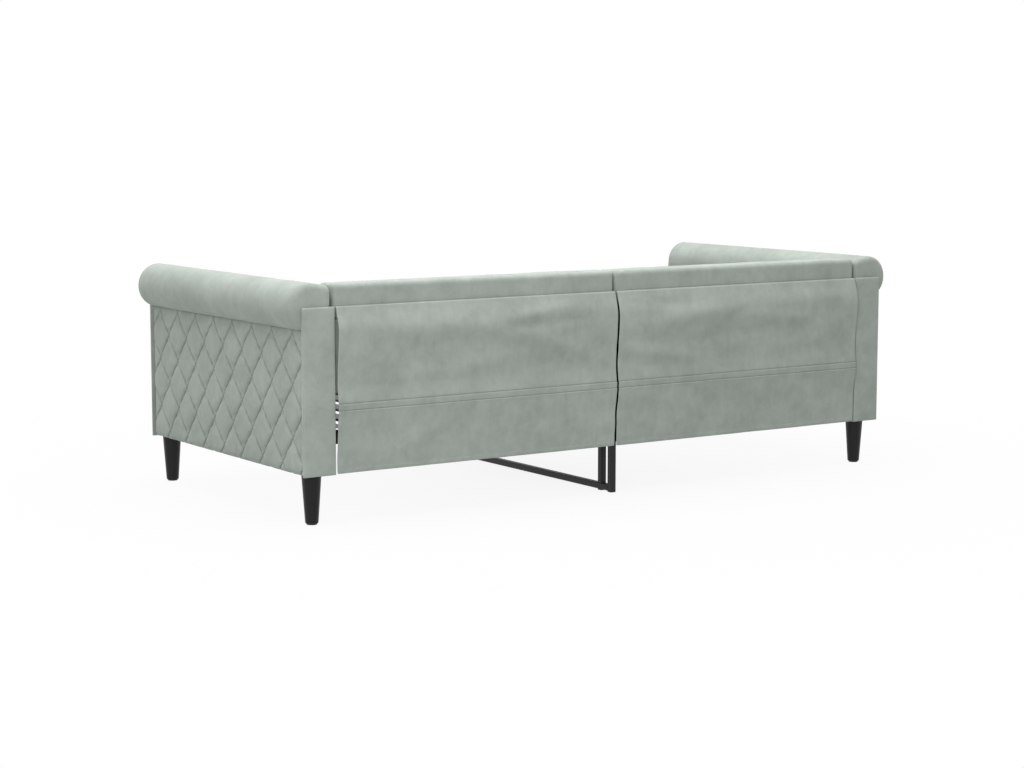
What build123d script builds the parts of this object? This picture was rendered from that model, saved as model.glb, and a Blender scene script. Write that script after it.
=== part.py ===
from build123d import *
import math
import os

os.makedirs("parts", exist_ok=True)

# Rolled-arm daybed in millimetres. Origin on the floor at the middle of the outline,
# +Z up, front towards -Y, back towards +Y. The left arm of a sitter is on the +X side.

# Mattress that the bed takes
mattress_length = 2000.0
mattress_width = 900.0
mattress_clearance = 5.0

# General fits
fit = 0.3
soft_gap = 0.3

# Legs
leg_height = 148.0
leg_top_diameter = 59.0
leg_foot_diameter = 39.0
leg_foot_round = 2.5
leg_rear_inset = 57.0
leg_front_inset = 39.0
glide_thickness = 4.0
glide_diameter = 32.0
glide_chamfer = 1.0
glide_pin_diameter = 8.0
glide_pin_length = 12.0

# Arm body, standing on the legs
arm_thickness = 105.0
arm_axis_rise = 490.0
pad_thickness = 20.0
side_panel_thickness = 15.0
bottom_board_thickness = 18.0
bulkhead_thickness = 12.0
bulkhead_count = 4
window_rise = 172.0
window_height = 200.0
window_margin = 110.0
window_corner = 30.0
end_panel_thickness = 12.0
end_panel_round = 4.0
facing_round = 5.0

# Roll along the top of the arm
roll_radius = 70.0
roll_overhang = 39.0
roll_padding = 22.0
roll_core_wall = 3.0
roll_end_cap = 20.0
roll_end_round = 18.0
roll_slot_rise = 9.0
roll_tuck = 38.0

# Diamond quilting
quilt_width = 128.0
quilt_height = 153.4
quilt_row_rise = 337.5
quilt_depth = 8.0
quilt_shoulder = 15.0
quilt_shoulder_depth = 3.2
quilt_edge = 6.0
quilt_skim = 1.0

# Back halves
back_thickness = 130.0
back_rise = 237.0
back_height = 317.0
back_roll_height = 102.0
back_roll_rear_round = 26.0
back_roll_front_round = 55.0
back_roll_end_round = 12.0
back_pad_thickness = 25.0
back_board_thickness = 18.0
back_web_count = 4
back_arm_gap = 4.0
back_centre_gap = 6.0

# Rear cover cloth of each back half, hanging below it as a skirt
cover_thickness = 5.0
cover_drop = 63.0
cover_hem_rise = 2.0
cover_swell = 26.0
cover_swell_drop = 136.0
cover_waist = 15.0
cover_waist_drop = 292.0
cover_seam = 21.0
cover_seam_drop = 359.0
cover_seam_spacing = 20.0
cover_seam_groove = 2.0
cover_skirt = 12.0
cover_skirt_drop = 467.0
cover_hem = 9.0

# Hooks that hang the back on the arms
hook_plate_height = 130.0
hook_plate_width = 40.0
hook_hole = 5.0
hook_corner = 6.0

# Bed base of steel tube
rail_width = 20.0
rail_height = 40.0
rail_rise = 120.0
tube_wall = 1.5
tube_round = 2.5
base_rear_setback = 74.0
base_front_setback = 35.0
slat_width = 55.0
slat_height = 8.0
slat_wall = 1.2
slat_pitch = 110.0
slat_count = 9
pad_over_slats = 4.0

# Centre support of square tube
post_size = 20.0
post_drop = 30.0
foot_thickness = 3.0
plug_length = 15.0

# Fasteners
bolt_diameter = 8.0
bolt_hole = 8.6
bolt_head = 5.3
bolt_head_across = 13.0
nut_height = 6.5
insert_diameter = 11.4
insert_length = 13.0
tee_flange_diameter = 18.0
tee_flange = 1.5
tee_barrel_diameter = 10.0
leg_bolt_length = 60.0
leg_bolt_in_leg = 36.0
base_bolt_rows = 3
base_bolt_inset = 120.0
back_bolt_rows = 2
back_bolt_spacing = 90.0

# Places worked out from the sizes above
arm_inner = mattress_length / 2 + mattress_clearance
arm_outer = arm_inner + arm_thickness
arm_depth = mattress_width + back_thickness + end_panel_thickness
cover_past_arm = cover_swell - end_panel_thickness
cover_top_lift = cover_thickness + soft_gap
overall_depth = arm_depth + cover_past_arm
front = -overall_depth / 2
arm_rear = front + arm_depth
body_front = front + end_panel_thickness
body_rear = arm_rear - end_panel_thickness
back_rear = body_rear
back_front = back_rear - back_thickness
frame_inner = arm_inner + pad_thickness
frame_outer = arm_outer - pad_thickness
neck_inner = frame_inner + side_panel_thickness
neck_outer = frame_outer - side_panel_thickness
arm_middle = (arm_inner + arm_outer) / 2
floor_board_top = leg_height + bottom_board_thickness
roll_x = arm_outer + roll_overhang - roll_radius
roll_z = leg_height + arm_axis_rise
roll_bore = roll_radius - roll_padding
core_radius = roll_bore - fit
former_radius = core_radius - roll_core_wall - fit
arm_pad_top = roll_z - roll_tuck
side_panel_top = roll_z - roll_bore
roll_slot_top = side_panel_top + roll_slot_rise
seam_run = math.atan2(quilt_height, quilt_width)
seam_spacing = quilt_width * math.sin(seam_run)
quilt_row_height = leg_height + quilt_row_rise
rail_top = leg_height + rail_rise
rail_bottom = rail_top - rail_height
slat_top = rail_top + slat_height
inner_pad_bottom = slat_top + pad_over_slats
rear_rail_y = arm_rear - base_rear_setback
front_rail_y = front + base_front_setback
base_rear = rear_rail_y + rail_width / 2
base_front = front_rail_y - rail_width / 2
post_rear = back_rear
post_front = post_rear - post_size
back_body_bottom = leg_height + back_rise
back_top = back_body_bottom + back_height
back_roll_bottom = back_top - back_roll_height
post_top = back_roll_bottom - post_drop
cover_top = back_top - cover_drop
cover_swell_height = back_top - cover_swell_drop
cover_waist_height = back_top - cover_waist_drop
cover_seam_height = back_top - cover_seam_drop
cover_skirt_height = back_top - cover_skirt_drop
cover_bottom = leg_height + cover_hem_rise
back_inner = back_centre_gap / 2
back_outer = arm_inner - back_arm_gap
frame_start = post_size / 2 + fit
back_frame_front = back_front + back_pad_thickness
floor_bar_top = foot_thickness + post_size
top_bar_bottom = rail_bottom - post_size
leg_rear_y = arm_rear - leg_rear_inset
leg_front_y = front + leg_front_inset
former_rear = body_rear - roll_end_cap


def facing_front(y):
    return Plane.XZ.offset(-y)


def facing_side(x):
    return Plane.YZ.offset(x)


def save(part, node):
    part.label = node
    export_step(part, f"parts/{node}.step")


def save_pair(part, node):
    save(part, f"left_{node}")
    save(mirror(part, about=Plane.YZ), f"right_{node}")


# Saw-tooth section across one family of sewn seams, ready to be run along the seams.
# The padding swells from each seam to a crest half-way to the next.
def seam_section(crossing, run, outward, corners):
    across = outward.cross(run)
    reach = [(corner - crossing).dot(across) / seam_spacing for corner in corners]
    first = math.floor(min(reach)) - 1
    last = math.ceil(max(reach)) + 1
    half = seam_spacing / 2
    outline = [(first * seam_spacing - half, 0)]
    for seam in range(first, last + 1):
        place = seam * seam_spacing
        outline.append((place - quilt_shoulder, -quilt_shoulder_depth))
        outline.append((place, -quilt_depth))
        outline.append((place + quilt_shoulder, -quilt_shoulder_depth))
        outline.append((place + half, 0))
    outline.append((last * seam_spacing + half, 2 * quilt_skim))
    outline.append((first * seam_spacing - half, 2 * quilt_skim))
    with BuildSketch(Plane(origin=crossing, x_dir=across, z_dir=run)) as section:
        with BuildLine():
            Polyline(*outline, close=True)
        make_face()
    return section.sketch


# Both seam families of a quilted face, for a face whose level direction is given
def seam_sections(crossing, level, outward, corners):
    rise = Vector(0, 0, math.sin(seam_run))
    up = level * math.cos(seam_run) + rise
    down = level * math.cos(seam_run) - rise
    return [seam_section(crossing, run, outward, corners) for run in (up, down)]


# Plywood side panels of the arm, with windows cut between the bulkheads
bulkhead_pitch = (former_rear - bulkhead_thickness - body_front) / (bulkhead_count - 1)
window_length = bulkhead_pitch - bulkhead_thickness - window_margin
window_middle = leg_height + window_rise + window_height / 2
body_middle = (body_front + body_rear) / 2
formers_middle = (body_front + former_rear) / 2
base_bolt_pitch = (base_rear - base_front - 2 * base_bolt_inset) / (base_bolt_rows - 1)
base_middle = (base_front + base_rear) / 2
rail_middle = rail_top - rail_height / 2

with BuildPart() as inner_panel:
    with BuildSketch(facing_side(frame_inner)):
        with Locations((body_middle, (floor_board_top + side_panel_top) / 2)):
            Rectangle(body_rear - body_front, side_panel_top - floor_board_top)
        with Locations((formers_middle, window_middle)):
            with GridLocations(bulkhead_pitch, 0, bulkhead_count - 1, 1):
                RectangleRounded(window_length, window_height, window_corner, mode=Mode.SUBTRACT)
        with Locations((base_middle, rail_middle)):
            with GridLocations(base_bolt_pitch, 0, base_bolt_rows, 1):
                Circle(insert_diameter / 2 + fit, mode=Mode.SUBTRACT)
    extrude(amount=side_panel_thickness)
save_pair(inner_panel.part, "arm_inner_panel")

with BuildPart() as outer_panel:
    with BuildSketch(facing_side(neck_outer)):
        with Locations((body_middle, (floor_board_top + side_panel_top) / 2)):
            Rectangle(body_rear - body_front, side_panel_top - floor_board_top)
        with Locations((formers_middle, window_middle)):
            with GridLocations(bulkhead_pitch, 0, bulkhead_count - 1, 1):
                RectangleRounded(window_length, window_height, window_corner, mode=Mode.SUBTRACT)
    extrude(amount=side_panel_thickness)
save_pair(outer_panel.part, "arm_outer_panel")

# Bulkheads between the panels, whose round heads carry the roll
neck_top = roll_slot_top - soft_gap
with BuildPart() as bulkheads:
    for station in range(bulkhead_count):
        rear_face = body_front + bulkhead_thickness + station * bulkhead_pitch
        with BuildSketch(facing_front(rear_face)):
            with Locations(((neck_inner + neck_outer) / 2, (floor_board_top + neck_top) / 2)):
                Rectangle(neck_outer - neck_inner, neck_top - floor_board_top)
            with Locations((roll_x, roll_z)):
                Circle(former_radius)
        extrude(amount=bulkhead_thickness)
save_pair(bulkheads.part, "arm_bulkheads")

# Bottom board of the arm, bored for the leg bolts and their tee nuts
leg_places = [(arm_middle, leg_front_y), (arm_middle, leg_rear_y)]
with BuildPart() as bottom_board:
    with BuildSketch(Plane.XY.offset(leg_height)):
        with Locations(((frame_inner + frame_outer) / 2, body_middle)):
            Rectangle(frame_outer - frame_inner, body_rear - body_front)
        with Locations(*leg_places):
            Circle(tee_barrel_diameter / 2 + fit, mode=Mode.SUBTRACT)
    extrude(amount=bottom_board_thickness)
save_pair(bottom_board.part, "arm_bottom_board")

# Bent hardboard that wraps the bulkhead heads, open below for their necks
with BuildPart() as roll_core:
    with BuildSketch(facing_front(former_rear)):
        with Locations((roll_x, roll_z)):
            Circle(core_radius)
            Circle(core_radius - roll_core_wall, mode=Mode.SUBTRACT)
        with Locations(((neck_inner + neck_outer) / 2, roll_z)):
            Rectangle(
                neck_outer - neck_inner + 2 * fit,
                core_radius + roll_core_wall,
                align=(Align.CENTER, Align.MAX),
                mode=Mode.SUBTRACT,
            )
    extrude(amount=former_rear - body_front)
save_pair(roll_core.part, "arm_roll_core")

# Padded roll: a closed rounded rear end, bored for the core and slotted for the panels
with BuildPart() as roll:
    with BuildSketch(facing_front(body_rear)):
        with Locations((roll_x, roll_z)):
            Circle(roll_radius)
    extrude(amount=body_rear - body_front)
    fillet(roll.edges().filter_by(GeomType.CIRCLE).sort_by(Axis.Y)[-1], roll_end_round)
    with BuildSketch(facing_front(former_rear + soft_gap)):
        with Locations((roll_x, roll_z)):
            Circle(roll_bore)
    extrude(amount=former_rear + soft_gap - body_front, mode=Mode.SUBTRACT)
    with BuildSketch(facing_front(body_rear)):
        with Locations(((frame_inner + frame_outer) / 2, roll_slot_top)):
            Rectangle(
                frame_outer - frame_inner + 2 * soft_gap,
                2 * roll_radius,
                align=(Align.CENTER, Align.MAX),
            )
    extrude(amount=body_rear - body_front, mode=Mode.SUBTRACT)
save_pair(roll.part, "arm_roll")

# Quilted pad on the outside of the arm, tucked up under the roll
level = Vector(0, 1, 0)
outer_corners = [
    Vector(arm_outer, y, z) for y in (body_front, body_rear) for z in (leg_height, roll_z)
]
outer_crossing = Vector(arm_outer, front, quilt_row_height)
outer_seams = seam_sections(outer_crossing, level, Vector(1, 0, 0), outer_corners)
seam_reach = 2 * arm_depth
with BuildPart() as outer_pad:
    with BuildSketch(facing_side(frame_outer)):
        with Locations((body_middle, (leg_height + roll_z) / 2)):
            Rectangle(body_rear - body_front, roll_z - leg_height)
    extrude(amount=pad_thickness + quilt_skim)
    chamfer(outer_pad.faces().sort_by(Axis.X)[-1].edges(), quilt_edge)
    extrude(to_extrude=outer_seams[0], amount=seam_reach, both=True, mode=Mode.SUBTRACT)
    extrude(to_extrude=outer_seams[1], amount=seam_reach, both=True, mode=Mode.SUBTRACT)
    with BuildSketch(facing_front(arm_rear)):
        with Locations((roll_x, roll_z)):
            Circle(roll_radius + soft_gap)
    extrude(amount=arm_depth, mode=Mode.SUBTRACT)
save_pair(outer_pad.part, "arm_outer_pad")

# Quilted pad on the inside of the arm, from the slats up to the roll
inner_pad_rear = back_front - soft_gap
inner_corners = [
    Vector(arm_inner, y, z) for y in (body_front, inner_pad_rear) for z in (inner_pad_bottom, roll_z)
]
inner_crossing = Vector(arm_inner, front, quilt_row_height)
inner_seams = seam_sections(inner_crossing, level, Vector(-1, 0, 0), inner_corners)
with BuildPart() as inner_pad:
    with BuildSketch(facing_side(frame_inner)):
        with Locations(((body_front + inner_pad_rear) / 2, (inner_pad_bottom + arm_pad_top) / 2)):
            Rectangle(inner_pad_rear - body_front, arm_pad_top - inner_pad_bottom)
    extrude(amount=-(pad_thickness + quilt_skim))
    chamfer(inner_pad.faces().sort_by(Axis.X)[0].edges(), quilt_edge)
    extrude(to_extrude=inner_seams[0], amount=seam_reach, both=True, mode=Mode.SUBTRACT)
    extrude(to_extrude=inner_seams[1], amount=seam_reach, both=True, mode=Mode.SUBTRACT)
    with BuildSketch(facing_front(arm_rear)):
        with Locations((roll_x, roll_z)):
            Circle(roll_radius + soft_gap)
    extrude(amount=arm_depth, mode=Mode.SUBTRACT)
save_pair(inner_pad.part, "arm_inner_pad")

# Hard block beside the end of the back, which takes the hook plates
with BuildPart() as hook_block:
    with BuildSketch(facing_side(arm_inner)):
        with Locations(((back_front + body_rear) / 2, (inner_pad_bottom + arm_pad_top) / 2)):
            Rectangle(body_rear - back_front, arm_pad_top - inner_pad_bottom)
    extrude(amount=pad_thickness)
    with BuildSketch(facing_front(arm_rear)):
        with Locations((roll_x, roll_z)):
            Circle(roll_radius + soft_gap)
    extrude(amount=arm_depth, mode=Mode.SUBTRACT)
save_pair(hook_block.part, "arm_hook_block")

# Flat cloth-covered panel that closes the rear end of the arm up to the roll's middle
with BuildPart() as rear_panel:
    with BuildSketch(facing_front(arm_rear)):
        with Locations((arm_middle, (leg_height + roll_z) / 2)):
            Rectangle(arm_thickness, roll_z - leg_height)
    extrude(amount=end_panel_thickness)
    fillet(rear_panel.faces().sort_by(Axis.Y)[-1].edges(), end_panel_round)
save_pair(rear_panel.part, "arm_rear_panel")

# Scroll-shaped facing on the front end of the arm
with BuildPart() as front_facing:
    with BuildSketch(facing_front(body_front)):
        with Locations((arm_middle, (leg_height + roll_z) / 2)):
            Rectangle(arm_thickness, roll_z - leg_height)
        with Locations((roll_x, roll_z)):
            Circle(roll_radius)
    extrude(amount=end_panel_thickness)
    fillet(front_facing.faces().sort_by(Axis.Y)[0].edges(), facing_round)
save_pair(front_facing.part, "arm_front_facing")

# Tapered round legs with a bore for the hanger bolt and a pin hole for the glide
leg_names = {"left": 1, "right": -1}
leg_rows = {"front": leg_front_y, "rear": leg_rear_y}
for side, way in leg_names.items():
    for row, leg_y in leg_rows.items():
        foot = Plane(origin=(way * arm_middle, leg_y, 0), x_dir=(1, 0, 0), z_dir=(0, -1, 0))
        with BuildPart() as leg:
            with BuildSketch(foot):
                with BuildLine():
                    Polyline(
                        (0, glide_thickness),
                        (leg_foot_diameter / 2, glide_thickness),
                        (leg_top_diameter / 2, leg_height),
                        (0, leg_height),
                        close=True,
                    )
                make_face()
            revolve(axis=Axis((way * arm_middle, leg_y, 0), (0, 0, 1)))
            fillet(leg.edges().filter_by(GeomType.CIRCLE).sort_by(Axis.Z)[0], leg_foot_round)
            with Locations((way * arm_middle, leg_y, leg_height)):
                Hole(bolt_hole / 2, leg_bolt_in_leg + fit)
            with Locations(Plane(origin=(way * arm_middle, leg_y, glide_thickness), z_dir=(0, 0, -1))):
                Hole(glide_pin_diameter / 2 + fit, glide_pin_length + fit)
        save(leg.part, f"{side}_{row}_leg")

all_legs = [(way * x, y) for way in (1, -1) for x, y in leg_places]
with BuildPart() as leg_glides:
    with BuildSketch(Plane.XY):
        with Locations(*all_legs):
            Circle(glide_diameter / 2)
    extrude(amount=glide_thickness)
    chamfer(leg_glides.faces().filter_by(Axis.Z).group_by(Axis.Z)[0].edges(), glide_chamfer)
    with BuildSketch(Plane.XY.offset(glide_thickness)):
        with Locations(*all_legs):
            Circle(glide_pin_diameter / 2)
    extrude(amount=glide_pin_length)
save(leg_glides.part, "leg_glides")

with BuildPart() as leg_bolts:
    with BuildSketch(Plane.XY.offset(leg_height - leg_bolt_in_leg)):
        with Locations(*all_legs):
            Circle(bolt_diameter / 2)
    extrude(amount=leg_bolt_length)
save(leg_bolts.part, "leg_bolts")

with BuildPart() as leg_nuts:
    with BuildSketch(Plane.XY.offset(leg_height)):
        with Locations(*all_legs):
            Circle(tee_barrel_diameter / 2)
    extrude(amount=bottom_board_thickness)
    with BuildSketch(Plane.XY.offset(floor_board_top)):
        with Locations(*all_legs):
            Circle(tee_flange_diameter / 2)
    extrude(amount=tee_flange)
    with BuildSketch(Plane.XY.offset(leg_height)):
        with Locations(*all_legs):
            Circle(bolt_hole / 2)
    extrude(amount=bottom_board_thickness + tee_flange, mode=Mode.SUBTRACT)
save(leg_nuts.part, "leg_nuts")

# Back half: boards above and below, upright webs between them
back_frame_middle = (back_frame_front + back_rear) / 2
back_frame_depth = back_rear - back_frame_front
with BuildPart() as back_boards:
    for underside in (back_body_bottom, back_roll_bottom - back_board_thickness):
        with BuildSketch(Plane.XY.offset(underside)):
            with Locations(((frame_start + back_outer) / 2, back_frame_middle)):
                Rectangle(back_outer - frame_start, back_frame_depth)
        extrude(amount=back_board_thickness)
save_pair(back_boards.part, "back_boards")

web_bottom = back_body_bottom + back_board_thickness
web_top = back_roll_bottom - back_board_thickness
web_pitch = (back_outer - frame_start - back_board_thickness) / (back_web_count - 1)
web_middle = (web_bottom + web_top) / 2
with BuildPart() as back_webs:
    for web in range(back_web_count):
        with BuildSketch(facing_side(frame_start + web * web_pitch)):
            with Locations((back_frame_middle, web_middle)):
                Rectangle(back_frame_depth, web_top - web_bottom)
        extrude(amount=back_board_thickness)
    with BuildSketch(facing_side(frame_start)):
        with Locations(((post_front + post_rear) / 2, web_middle)):
            with GridLocations(0, back_bolt_spacing, 1, back_bolt_rows):
                Circle(bolt_hole / 2)
    extrude(amount=back_board_thickness, mode=Mode.SUBTRACT)
save_pair(back_webs.part, "back_webs")

# Quilted front pad of the back
back_middle = (back_inner + back_outer) / 2
pad_corners = [
    Vector(x, back_front, z) for x in (back_inner, back_outer) for z in (back_body_bottom, back_roll_bottom)
]
pad_crossing = Vector(back_middle, back_front, quilt_row_height)
pad_seams = seam_sections(pad_crossing, Vector(1, 0, 0), Vector(0, -1, 0), pad_corners)
with BuildPart() as front_pad:
    with BuildSketch(facing_front(back_frame_front)):
        with Locations((back_middle, (back_body_bottom + back_roll_bottom) / 2)):
            Rectangle(back_outer - back_inner, back_roll_bottom - back_body_bottom)
    extrude(amount=back_pad_thickness + quilt_skim)
    chamfer(front_pad.faces().sort_by(Axis.Y)[0].edges(), quilt_edge)
    extrude(to_extrude=pad_seams[0], amount=seam_reach, both=True, mode=Mode.SUBTRACT)
    extrude(to_extrude=pad_seams[1], amount=seam_reach, both=True, mode=Mode.SUBTRACT)
save_pair(front_pad.part, "back_front_pad")

# Plain padded roll along the top of the back, fuller towards the seat
with BuildPart() as top_roll:
    with BuildSketch(facing_side(back_inner)) as top_section:
        with Locations(((back_front + back_rear) / 2, (back_roll_bottom + back_top) / 2)):
            Rectangle(back_thickness, back_top - back_roll_bottom)
        fillet(top_section.vertices().sort_by_distance((back_rear, back_top))[0], back_roll_rear_round)
        fillet(top_section.vertices().sort_by_distance((back_front, back_top))[0], back_roll_front_round)
    extrude(amount=back_outer - back_inner)
    for end in (0, -1):
        rim = top_roll.faces().sort_by(Axis.X)[end].edges()
        fillet(rim.sort_by(Axis.Z)[1:], back_roll_end_round)
save_pair(top_roll.part, "back_top_roll")

# Rear cover cloth: it swells below its top edge, draws in, and hangs below the back
def cover_folds(depth):
    def fold(lift, height):
        return (back_rear + lift - depth, height)

    top_edge = fold(cover_top_lift, cover_top)
    swell = fold(cover_swell, cover_swell_height)
    waist = fold(cover_waist, cover_waist_height)
    seam = fold(cover_seam, cover_seam_height)
    hem = fold(cover_hem, cover_bottom)
    TangentArc(swell, top_edge, tangent=(0, 1))
    TangentArc(swell, waist, tangent=(0, -1))
    band = Line(waist, seam)
    skirt = ThreePointArc(seam, fold(cover_skirt, cover_skirt_height), hem)
    half_band = cover_seam_spacing / 2
    upper_seam = band @ (1 - half_band / (cover_waist_height - cover_seam_height))
    lower_seam = skirt @ (half_band / (cover_seam_height - cover_bottom))
    return (top_edge, hem), (upper_seam, lower_seam)


with BuildPart() as rear_cover:
    with BuildSketch(facing_side(back_inner)):
        with BuildLine():
            outside_edges, stitch_lines = cover_folds(0)
            inside_edges = cover_folds(cover_thickness)[0]
            for outside, inside in zip(outside_edges, inside_edges):
                Line(outside, inside)
        make_face()
        with Locations(*stitch_lines):
            Rectangle(cover_seam_groove, cover_seam_groove, rotation=45, mode=Mode.SUBTRACT)
    extrude(amount=back_outer - back_inner)
save_pair(rear_cover.part, "back_rear_cover")

# Pressed hook plates on the back's end boards and catch plates on the arm blocks
hook_thickness = back_arm_gap / 2
hook_starts = {"back_hooks": back_outer, "arm_catches": back_outer + hook_thickness}
for node, start in hook_starts.items():
    with BuildPart() as plates:
        for way in (1, -1):
            with BuildSketch(facing_side(way * start)):
                with Locations((back_frame_middle, web_middle)):
                    RectangleRounded(hook_plate_width, hook_plate_height, hook_corner)
                    with GridLocations(0, hook_plate_height - hook_plate_width, 1, 2):
                        Circle(hook_hole / 2, mode=Mode.SUBTRACT)
            extrude(amount=way * hook_thickness)
    save(plates.part, node)


def running_front(x, y, z):
    return Plane(origin=(x, y, z), x_dir=(1, 0, 0), z_dir=(0, -1, 0))


def running_left(x, y, z):
    return Plane(origin=(x, y, z), x_dir=(0, 1, 0), z_dir=(1, 0, 0))


def running_up(x, y, z):
    return Plane(origin=(x, y, z))


# Straight length of steel tube along the normal of its end plane
def tube(end_plane, width, height, length):
    with BuildPart() as member:
        with BuildSketch(end_plane):
            RectangleRounded(width, height, tube_round)
            RectangleRounded(
                width - 2 * tube_wall,
                height - 2 * tube_wall,
                tube_round - tube_wall,
                mode=Mode.SUBTRACT,
            )
        extrude(amount=length)
    return member.part


# Bed base: two halves, each of four rails round its slats
def cross_rail(x):
    return tube(running_front(x, base_rear, rail_middle), rail_width, rail_height, base_rear - base_front)


def long_rail(y):
    return tube(running_left(rail_width, y, rail_middle), rail_width, rail_height, arm_inner - rail_width)


save_pair(long_rail(front_rail_y), "front_rail")
save_pair(long_rail(rear_rail_y), "rear_rail")

with BuildPart() as end_rail:
    add(cross_rail(arm_inner + rail_width / 2))
    with BuildSketch(facing_side(arm_inner)):
        with Locations((base_middle, rail_middle)):
            with GridLocations(base_bolt_pitch, 0, base_bolt_rows, 1):
                Circle(bolt_hole / 2)
    extrude(amount=rail_width, mode=Mode.SUBTRACT)
save_pair(end_rail.part, "end_rail")

with BuildPart() as centre_rail:
    add(cross_rail(rail_width / 2))
    with BuildSketch(facing_side(0)):
        with Locations((base_middle, rail_middle)):
            with GridLocations(base_bolt_pitch, 0, base_bolt_rows, 1):
                Circle(bolt_hole / 2)
    extrude(amount=rail_width, mode=Mode.SUBTRACT)
save_pair(centre_rail.part, "centre_rail")

# Slats folded from sheet, lying across the front and rear rails
with BuildPart() as slats:
    with BuildSketch(facing_front(base_rear)):
        with Locations(((rail_width + arm_inner) / 2, rail_top + slat_height / 2)):
            with GridLocations(slat_pitch, 0, slat_count, 1):
                Rectangle(slat_width, slat_height)
        with Locations(((rail_width + arm_inner) / 2, rail_top + slat_height / 2 - slat_wall)):
            with GridLocations(slat_pitch, 0, slat_count, 1):
                Rectangle(slat_width - 2 * slat_wall, slat_height, mode=Mode.SUBTRACT)
    extrude(amount=base_rear - base_front)
save_pair(slats.part, "slats")

# Centre support: floor bar, tall rear post, two short legs and the bar under the rails
bar_middle = foot_thickness + post_size / 2
bar_place = running_front(0, post_front, bar_middle)
save(tube(bar_place, post_size, post_size, post_front - base_front), "centre_floor_bar")

rear_leg_place = running_up(0, rear_rail_y, floor_bar_top)
save(tube(rear_leg_place, post_size, post_size, top_bar_bottom - floor_bar_top), "centre_rear_leg")

front_leg_place = running_up(0, front_rail_y, floor_bar_top)
save(tube(front_leg_place, post_size, post_size, top_bar_bottom - floor_bar_top), "centre_front_leg")

top_bar_place = running_front(0, base_rear, rail_bottom - post_size / 2)
save(tube(top_bar_place, post_size, post_size, base_rear - base_front), "centre_top_bar")

post_middle = (post_front + post_rear) / 2
post_place = running_up(0, post_middle, foot_thickness)
with BuildPart() as tall_post:
    add(tube(post_place, post_size, post_size, post_top - 2 * foot_thickness))
    with BuildSketch(facing_side(-post_size / 2)):
        with Locations((post_middle, web_middle)):
            with GridLocations(0, back_bolt_spacing, 1, back_bolt_rows):
                Circle(bolt_hole / 2)
    extrude(amount=post_size, mode=Mode.SUBTRACT)
save(tall_post.part, "centre_tall_post")

# Plastic caps: foot and top of the tall post, front end and feet of the floor bar
plug_size = post_size - 2 * tube_wall - 2 * fit
with BuildPart() as end_caps:
    with BuildSketch(Plane.XY):
        with Locations((0, post_middle), (0, rear_rail_y), (0, front_rail_y + post_size)):
            RectangleRounded(post_size, post_size, tube_round)
    extrude(amount=foot_thickness)
    with BuildSketch(Plane.XY.offset(foot_thickness)):
        with Locations((0, post_middle)):
            Rectangle(plug_size, plug_size)
    extrude(amount=plug_length)
    with BuildSketch(Plane.XY.offset(post_top - foot_thickness)):
        with Locations((0, post_middle)):
            RectangleRounded(post_size, post_size, tube_round)
    extrude(amount=foot_thickness)
    with BuildSketch(Plane.XY.offset(post_top - foot_thickness)):
        with Locations((0, post_middle)):
            Rectangle(plug_size, plug_size)
    extrude(amount=-plug_length)
    with BuildSketch(facing_front(base_front)):
        with Locations((0, bar_middle)):
            RectangleRounded(post_size, post_size, tube_round)
    extrude(amount=foot_thickness)
    with BuildSketch(facing_front(base_front)):
        with Locations((0, bar_middle)):
            Rectangle(plug_size, plug_size)
    extrude(amount=-plug_length)
save(end_caps.part, "tube_end_caps")

# Bolts of the base: into the arms at each end, and through both centre rails
head_radius = bolt_head_across / 2 / math.cos(math.pi / 6)
with BuildPart() as base_bolts:
    for way in (1, -1):
        with BuildSketch(facing_side(way * arm_inner)):
            with Locations((base_middle, rail_middle)):
                with GridLocations(base_bolt_pitch, 0, base_bolt_rows, 1):
                    RegularPolygon(head_radius, 6)
        extrude(amount=-way * bolt_head)
        with BuildSketch(facing_side(way * arm_inner)):
            with Locations((base_middle, rail_middle)):
                with GridLocations(base_bolt_pitch, 0, base_bolt_rows, 1):
                    Circle(bolt_diameter / 2)
        extrude(amount=way * (rail_width + insert_length))
    with BuildSketch(facing_side(rail_width)):
        with Locations((base_middle, rail_middle)):
            with GridLocations(base_bolt_pitch, 0, base_bolt_rows, 1):
                RegularPolygon(head_radius, 6)
    extrude(amount=bolt_head)
    with BuildSketch(facing_side(rail_width)):
        with Locations((base_middle, rail_middle)):
            with GridLocations(base_bolt_pitch, 0, base_bolt_rows, 1):
                Circle(bolt_diameter / 2)
    extrude(amount=-(2 * rail_width + nut_height))
    with BuildSketch(facing_side(-rail_width)):
        with Locations((base_middle, rail_middle)):
            with GridLocations(base_bolt_pitch, 0, base_bolt_rows, 1):
                RegularPolygon(head_radius, 6)
                Circle(bolt_hole / 2, mode=Mode.SUBTRACT)
    extrude(amount=-nut_height)
save(base_bolts.part, "base_bolts")

with BuildPart() as arm_inserts:
    for way in (1, -1):
        with BuildSketch(facing_side(way * frame_inner)):
            with Locations((base_middle, rail_middle)):
                with GridLocations(base_bolt_pitch, 0, base_bolt_rows, 1):
                    Circle(insert_diameter / 2)
                    Circle(bolt_hole / 2, mode=Mode.SUBTRACT)
        extrude(amount=way * insert_length)
save(arm_inserts.part, "arm_inserts")

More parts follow.
